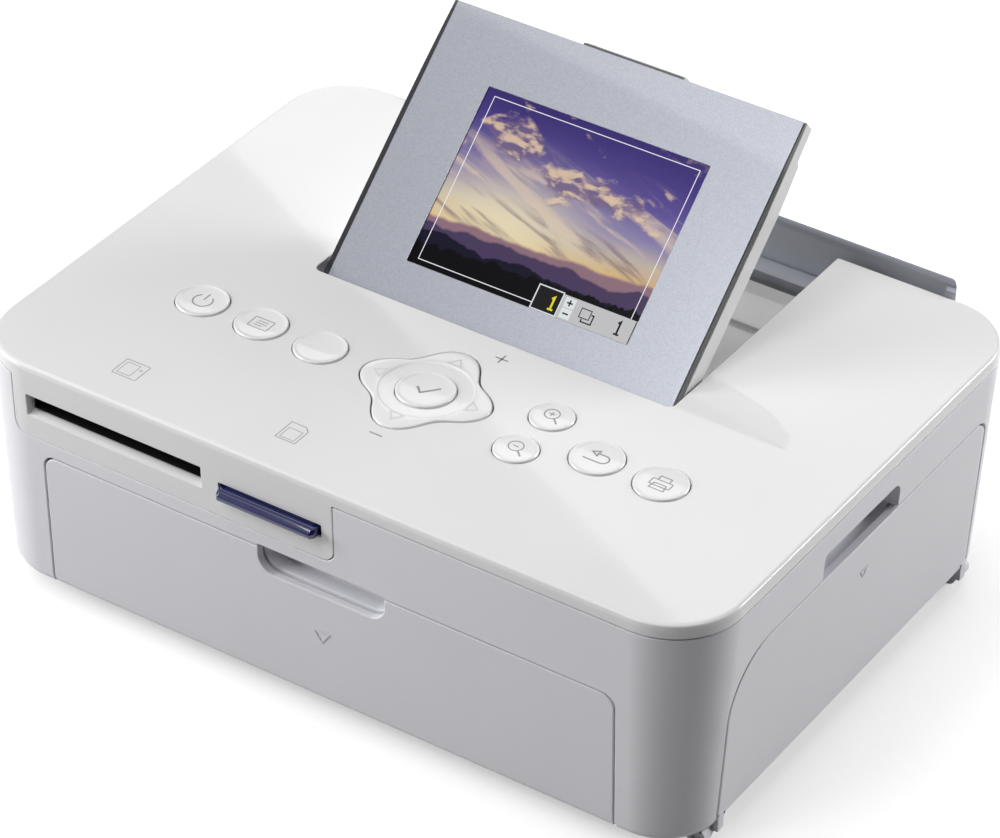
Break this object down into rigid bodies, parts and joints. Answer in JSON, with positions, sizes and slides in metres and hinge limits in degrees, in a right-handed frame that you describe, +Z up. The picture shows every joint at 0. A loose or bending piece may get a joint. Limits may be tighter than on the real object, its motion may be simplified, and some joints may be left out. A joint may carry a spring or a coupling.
{
  "type": "compact photo printer",
  "caption": "Compact dye-transfer photo printer with a tilting colour display, round keys, two card slots, a fold-down paper door and a side door over its ink cassette.",
  "frame": {"origin": "on the standing surface, under the middle of the printer's outline with the memory card in its slot", "axes": "+X to the right along the width, +Y to the rear, +Z up"},
  "size_m": [0.1778, 0.1376, 0.102],
  "materials": {
    "cover_white": "glossy white",
    "case_grey": "fine satin, light grey with a violet tint",
    "door_grey": "fine satin",
    "slate": "satin slate grey",
    "bezel_silver": "fine metallic silver paint",
    "frame_dark": "satin dark grey",
    "shell_white": "satin off-white",
    "screen": "glossy screen",
    "key_white": "glossy white",
    "card_navy": "smooth navy",
    "rubber": "matt",
    "steel": "zinc-plated sheet",
    "screw_steel": "blackened",
    "aluminium": "extruded",
    "board_green": "solder resist",
    "black_plastic": "satin",
    "gear_ivory": "acetal",
    "brass": "turned",
    "ceramic": "glazed ceramic",
    "film_violet": "thin dyed film",
    "spool_blue": "wound film"
  },
  "bodies": {
    "case": {"lower_case": "case_grey", "top_cover": "cover_white", "rear_cover": "slate", "case_screws": "screw_steel", "rubber_feet": "rubber", "key_board": "board_green", "card_reader": "steel", "main_board": "board_green", "usb_port": "steel", "power_inlet": "black_plastic", "chassis_left": "steel", "chassis_right": "steel", "chassis_pan": "steel", "bushes": "gear_ivory", "head_shaft": "steel", "gear_studs": "steel", "cassette_shell": "shell_white", "ink_film": "film_violet", "feed_motor": "steel"},
    "front_door": {"front_door": "door_grey"},
    "side_door": {"side_door": "door_grey"},
    "display": {"display_bezel": "bezel_silver", "display_mid_frame": "frame_dark", "display_back_shell": "shell_white", "display_glass": "screen", "display_pins": "steel"},
    "nav_ring": {"nav_ring": "shell_white"},
    "nav_pad": {"nav_pad": "key_white"},
    "ok_key": {"ok_key": "key_white"},
    "memory_card": {"memory_card": "card_navy"},
    "platen": {"platen_roller": "rubber", "platen_gear": "gear_ivory"},
    "feed_roller": {"feed_roller": "steel", "feed_gear": "gear_ivory"},
    "pinch_roller": {"pinch_roller": "rubber"},
    "print_head": {"head_arms": "steel", "head_heatsink": "aluminium", "head_strip": "ceramic"},
    "supply_spool": {"supply_spool": "spool_blue"},
    "takeup_spool": {"takeup_spool": "spool_blue", "takeup_gear": "gear_ivory"},
    "transfer_gear": {"transfer_gear": "gear_ivory"},
    "idler_gear": {"idler_gear": "gear_ivory"},
    "motor_pinion": {"motor_pinion": "brass"},
    "feed_idler": {"feed_idler": "gear_ivory"},
    "power_key": {"power_key": "key_white"},
    "menu_key": {"menu_key": "key_white"},
    "edit_key": {"edit_key": "key_white"},
    "zoom_in_key": {"zoom_in_key": "key_white"},
    "zoom_out_key": {"zoom_out_key": "key_white"},
    "back_key": {"back_key": "key_white"},
    "print_key": {"print_key": "key_white"}
  },
  "joints": [
    {"name": "display_tilt", "type": "hinge", "parent": "case", "child": "display", "pos_m": [-0.00065, 0.00228, 0.0581], "axis": [1, 0, 0], "range_deg": [-42, 0]},
    {"name": "front_door_hinge", "type": "hinge", "parent": "case", "child": "front_door", "pos_m": [0, -0.06146, 0.0076], "axis": [1, 0, 0], "range_deg": [0, 90]},
    {"name": "side_door_hinge", "type": "hinge", "parent": "case", "child": "side_door", "pos_m": [0.08353, -0.00075, 0.0026], "axis": [0, 1, 0], "range_deg": [0, 85]},
    {"name": "power_press", "type": "slide", "parent": "case", "child": "power_key", "axis": [0, 0, -1], "range_m": [0, 0.0006], "stiffness_N_per_m": 900},
    {"name": "menu_press", "type": "slide", "parent": "case", "child": "menu_key", "axis": [0, 0, -1], "range_m": [0, 0.0006], "stiffness_N_per_m": 900},
    {"name": "edit_press", "type": "slide", "parent": "case", "child": "edit_key", "axis": [0, 0, -1], "range_m": [0, 0.0006], "stiffness_N_per_m": 900},
    {"name": "zoom_in_press", "type": "slide", "parent": "case", "child": "zoom_in_key", "axis": [0, 0, -1], "range_m": [0, 0.0006], "stiffness_N_per_m": 900},
    {"name": "zoom_out_press", "type": "slide", "parent": "case", "child": "zoom_out_key", "axis": [0, 0, -1], "range_m": [0, 0.0006], "stiffness_N_per_m": 900},
    {"name": "back_press", "type": "slide", "parent": "case", "child": "back_key", "axis": [0, 0, -1], "range_m": [0, 0.0006], "stiffness_N_per_m": 900},
    {"name": "print_press", "type": "slide", "parent": "case", "child": "print_key", "axis": [0, 0, -1], "range_m": [0, 0.0006], "stiffness_N_per_m": 900},
    {"name": "ok_press", "type": "slide", "parent": "case", "child": "ok_key", "axis": [0, 0, -1], "range_m": [0, 0.0006], "stiffness_N_per_m": 900},
    {"name": "nav_rock_side", "type": "hinge", "parent": "case", "child": "nav_ring", "pos_m": [-0.00065, -0.02685, 0.056], "axis": [0, 1, 0], "range_deg": [-1.6, 1.6], "stiffness_Nm_per_rad": 0.4},
    {"name": "nav_rock_front", "type": "hinge", "parent": "nav_ring", "child": "nav_pad", "pos_m": [-0.00065, -0.02685, 0.056], "axis": [1, 0, 0], "range_deg": [-1.6, 1.6], "stiffness_Nm_per_rad": 0.4},
    {"name": "card_slide", "type": "slide", "parent": "case", "child": "memory_card", "axis": [0, -1, 0], "range_m": [0, 0.026]},
    {"name": "platen_spin", "type": "hinge", "parent": "case", "child": "platen", "pos_m": [0, 0.00575, 0.02], "axis": [1, 0, 0], "continuous": true},
    {"name": "feed_spin", "type": "hinge", "parent": "case", "child": "feed_roller", "pos_m": [0, -0.02825, 0.022], "axis": [1, 0, 0], "continuous": true},
    {"name": "feed_idler_spin", "type": "hinge", "parent": "case", "child": "feed_idler", "pos_m": [0, -0.01433, 0.01641], "axis": [1, 0, 0], "continuous": true},
    {"name": "transfer_spin", "type": "hinge", "parent": "case", "child": "transfer_gear", "pos_m": [0, -0.00198, 0.03625], "axis": [1, 0, 0], "continuous": true},
    {"name": "takeup_spin", "type": "hinge", "parent": "case", "child": "takeup_spool", "pos_m": [0, -0.01625, 0.0343], "axis": [1, 0, 0], "continuous": true},
    {"name": "idler_spin", "type": "hinge", "parent": "case", "child": "idler_gear", "pos_m": [0, 0.02996, 0.02697], "axis": [1, 0, 0], "continuous": true},
    {"name": "motor_spin", "type": "hinge", "parent": "case", "child": "motor_pinion", "pos_m": [0, 0.04475, 0.0178], "axis": [1, 0, 0], "continuous": true},
    {"name": "pinch_spin", "type": "hinge", "parent": "case", "child": "pinch_roller", "pos_m": [0, -0.02825, 0.0288], "axis": [1, 0, 0], "continuous": true},
    {"name": "supply_spin", "type": "hinge", "parent": "case", "child": "supply_spool", "pos_m": [0, 0.02975, 0.0343], "axis": [1, 0, 0], "continuous": true},
    {"name": "head_lift", "type": "hinge", "parent": "case", "child": "print_head", "pos_m": [0, 0.01675, 0.0389], "axis": [1, 0, 0], "range_deg": [0, 24]}
  ],
  "couplings": [
    {"joint": "transfer_spin", "follows": "platen_spin", "ratio": -2},
    {"joint": "takeup_spin", "follows": "platen_spin", "ratio": 1.4286},
    {"joint": "idler_spin", "follows": "platen_spin", "ratio": -0.90909},
    {"joint": "motor_spin", "follows": "platen_spin", "ratio": 2.8571},
    {"joint": "feed_idler_spin", "follows": "platen_spin", "ratio": -1.4286},
    {"joint": "feed_spin", "follows": "platen_spin", "ratio": 1.8182}
  ]
}
